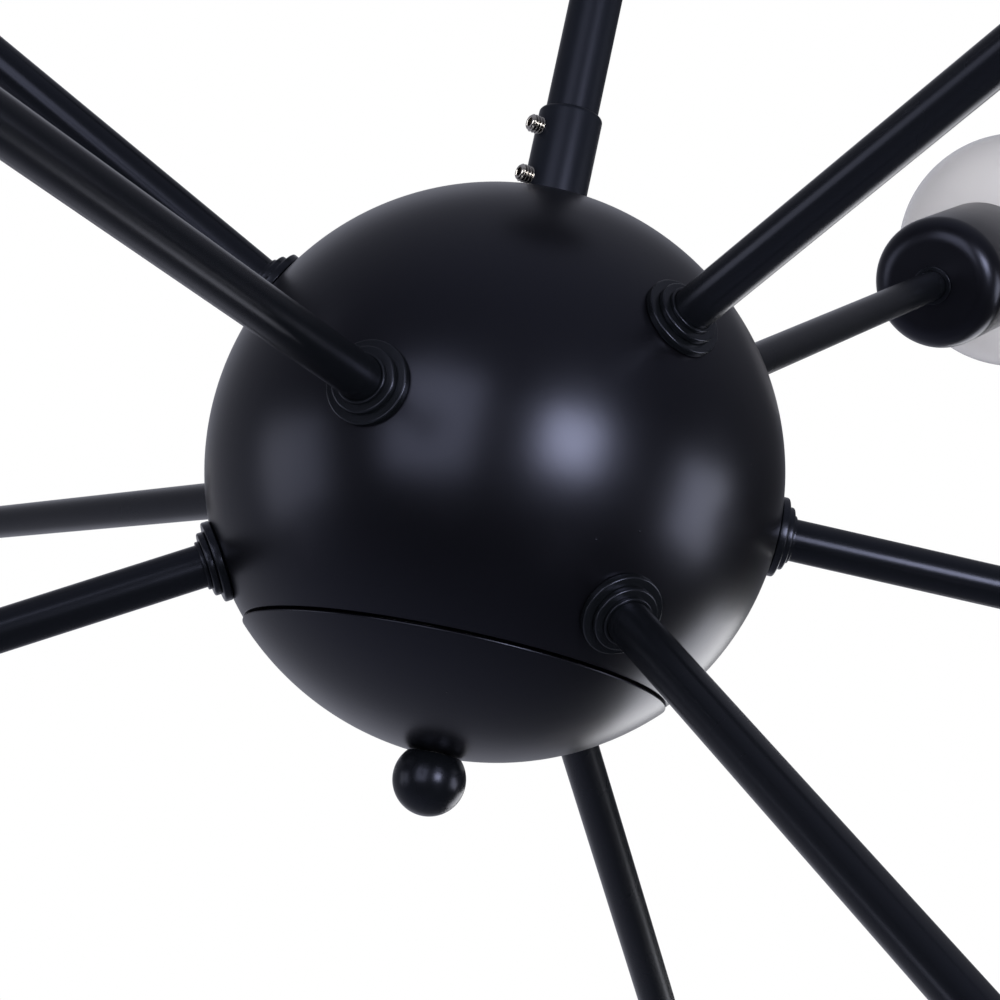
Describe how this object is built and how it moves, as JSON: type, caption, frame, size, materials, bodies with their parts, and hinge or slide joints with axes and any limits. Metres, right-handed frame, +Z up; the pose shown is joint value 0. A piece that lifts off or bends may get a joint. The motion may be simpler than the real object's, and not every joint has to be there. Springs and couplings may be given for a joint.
{
  "type": "sputnik chandelier",
  "caption": "Ceiling light with a hollow ball on a straight stem and straight tube arms that stand out of it in three rows, each with a lamp cup and a globe bulb.",
  "frame": {"origin": "middle of the crossbar's upper face, which is in the plane of the ceiling", "axes": "+Z up, into the ceiling; +X along the crossbar; -Y is the front, from which the picture looks, a little from below"},
  "size_m": [0.8388, 0.7764, 0.623],
  "materials": {
    "satin_black_paint": "satin powder coat",
    "zinc_plated_steel": "zinc plated",
    "bright_steel": "polished",
    "glazed_porcelain": "glazed",
    "brass": "bright",
    "opal_glass": "opal",
    "lead_insulation": "smooth",
    "splice_tape": "tape",
    "nylon": "moulded",
    "green_screw": "dyed zinc"
  },
  "bodies": {
    "ceiling_fixing": {"crossbar": "zinc_plated_steel", "canopy": "satin_black_paint", "canopy_studs": "zinc_plated_steel", "canopy_cap_nuts": "satin_black_paint", "ground_screw": "green_screw"},
    "slip_ring": {"swivel_seat_ring": "nylon"},
    "chandelier": {"swivel_ball": "bright_steel", "swivel_grub_screw": "zinc_plated_steel", "stem_tube": "satin_black_paint", "stem_collar": "satin_black_paint", "collar_nuts": "zinc_plated_steel", "hub_upper_shell": "satin_black_paint", "hub_bracket": "zinc_plated_steel", "cap_stud": "zinc_plated_steel", "stud_nuts": "zinc_plated_steel", "supply_leads": "lead_insulation", "lead_splice": "splice_tape", "arm_leads": "lead_insulation", "arm_rings_large": "satin_black_paint", "arm_rings_small": "satin_black_paint", "arm_lock_collars": "satin_black_paint", "arm_lock_washers": "zinc_plated_steel", "arm_lock_nuts": "zinc_plated_steel", "cup_end_collars": "satin_black_paint", "cup_lock_nuts": "zinc_plated_steel", "lamp_holders": "glazed_porcelain", "lamp_screw_shells": "brass", "lamp_centre_contacts": "brass", "arm_tube_1": "satin_black_paint", "arm_tube_2": "satin_black_paint", "arm_tube_3": "satin_black_paint", "arm_tube_4": "satin_black_paint", "arm_tube_5": "satin_black_paint", "arm_tube_6": "satin_black_paint", "arm_tube_7": "satin_black_paint", "arm_tube_8": "satin_black_paint", "arm_tube_9": "satin_black_paint", "socket_cup_1": "satin_black_paint", "socket_cup_2": "satin_black_paint", "socket_cup_3": "satin_black_paint", "socket_cup_4": "satin_black_paint", "socket_cup_5": "satin_black_paint", "socket_cup_6": "satin_black_paint", "socket_cup_7": "satin_black_paint", "socket_cup_8": "satin_black_paint", "socket_cup_9": "satin_black_paint"},
    "lower_cap": {"hub_lower_cap": "satin_black_paint"},
    "finial": {"finial_ball": "satin_black_paint"},
    "upper_set_screw": {"set_screw_upper": "bright_steel"},
    "lower_set_screw": {"set_screw_lower": "bright_steel"},
    "bulb_1": {"bulb_1": "opal_glass"},
    "bulb_2": {"bulb_2": "opal_glass"},
    "bulb_3": {"bulb_3": "opal_glass"},
    "bulb_4": {"bulb_4": "opal_glass"},
    "bulb_5": {"bulb_5": "opal_glass"},
    "bulb_6": {"bulb_6": "opal_glass"},
    "bulb_7": {"bulb_7": "opal_glass"},
    "bulb_8": {"bulb_8": "opal_glass"},
    "bulb_9": {"bulb_9": "opal_glass"}
  },
  "joints": [
    {"name": "swivel_turn", "type": "hinge", "parent": "ceiling_fixing", "child": "slip_ring", "pos_m": [0, 0, -0.0135], "axis": [0, 0, 1], "range_deg": [-170, 170]},
    {"name": "swivel_tilt", "type": "hinge", "parent": "slip_ring", "child": "chandelier", "pos_m": [0, 0, -0.0135], "axis": [1, 0, 0], "range_deg": [-15, 15]},
    {"name": "cap_lower", "type": "slide", "parent": "chandelier", "child": "lower_cap", "axis": [0, 0, -1], "range_m": [0, 0.06]},
    {"name": "finial_unscrew", "type": "slide", "parent": "lower_cap", "child": "finial", "axis": [0, 0, -1], "range_m": [0, 0.012]},
    {"name": "upper_set_screw_out", "type": "slide", "parent": "chandelier", "child": "upper_set_screw", "axis": [-0.8746, -0.4848, 0], "range_m": [0, 0.006]},
    {"name": "lower_set_screw_out", "type": "slide", "parent": "chandelier", "child": "lower_set_screw", "axis": [-0.8746, -0.4848, 0], "range_m": [0, 0.006]},
    {"name": "bulb_1_unscrew", "type": "slide", "parent": "chandelier", "child": "bulb_1", "axis": [0.4844, -0.7431, 0.4617], "range_m": [0, 0.03]},
    {"name": "bulb_2_unscrew", "type": "slide", "parent": "chandelier", "child": "bulb_2", "axis": [0.4013, 0.791, 0.4617], "range_m": [0, 0.03]},
    {"name": "bulb_3_unscrew", "type": "slide", "parent": "chandelier", "child": "bulb_3", "axis": [-0.8857, -0.048, 0.4617], "range_m": [0, 0.03]},
    {"name": "bulb_4_unscrew", "type": "slide", "parent": "chandelier", "child": "bulb_4", "axis": [0.9981, 0.061, 0], "range_m": [0, 0.03]},
    {"name": "bulb_5_unscrew", "type": "slide", "parent": "chandelier", "child": "bulb_5", "axis": [-0.5519, 0.8339, 0], "range_m": [0, 0.03]},
    {"name": "bulb_6_unscrew", "type": "slide", "parent": "chandelier", "child": "bulb_6", "axis": [-0.4462, -0.8949, 0], "range_m": [0, 0.03]},
    {"name": "bulb_7_unscrew", "type": "slide", "parent": "chandelier", "child": "bulb_7", "axis": [0.483, -0.7081, -0.515], "range_m": [0, 0.03]},
    {"name": "bulb_8_unscrew", "type": "slide", "parent": "chandelier", "child": "bulb_8", "axis": [0.3717, 0.7724, -0.515], "range_m": [0, 0.03]},
    {"name": "bulb_9_unscrew", "type": "slide", "parent": "chandelier", "child": "bulb_9", "axis": [-0.8548, -0.0643, -0.515], "range_m": [0, 0.03]}
  ]
}
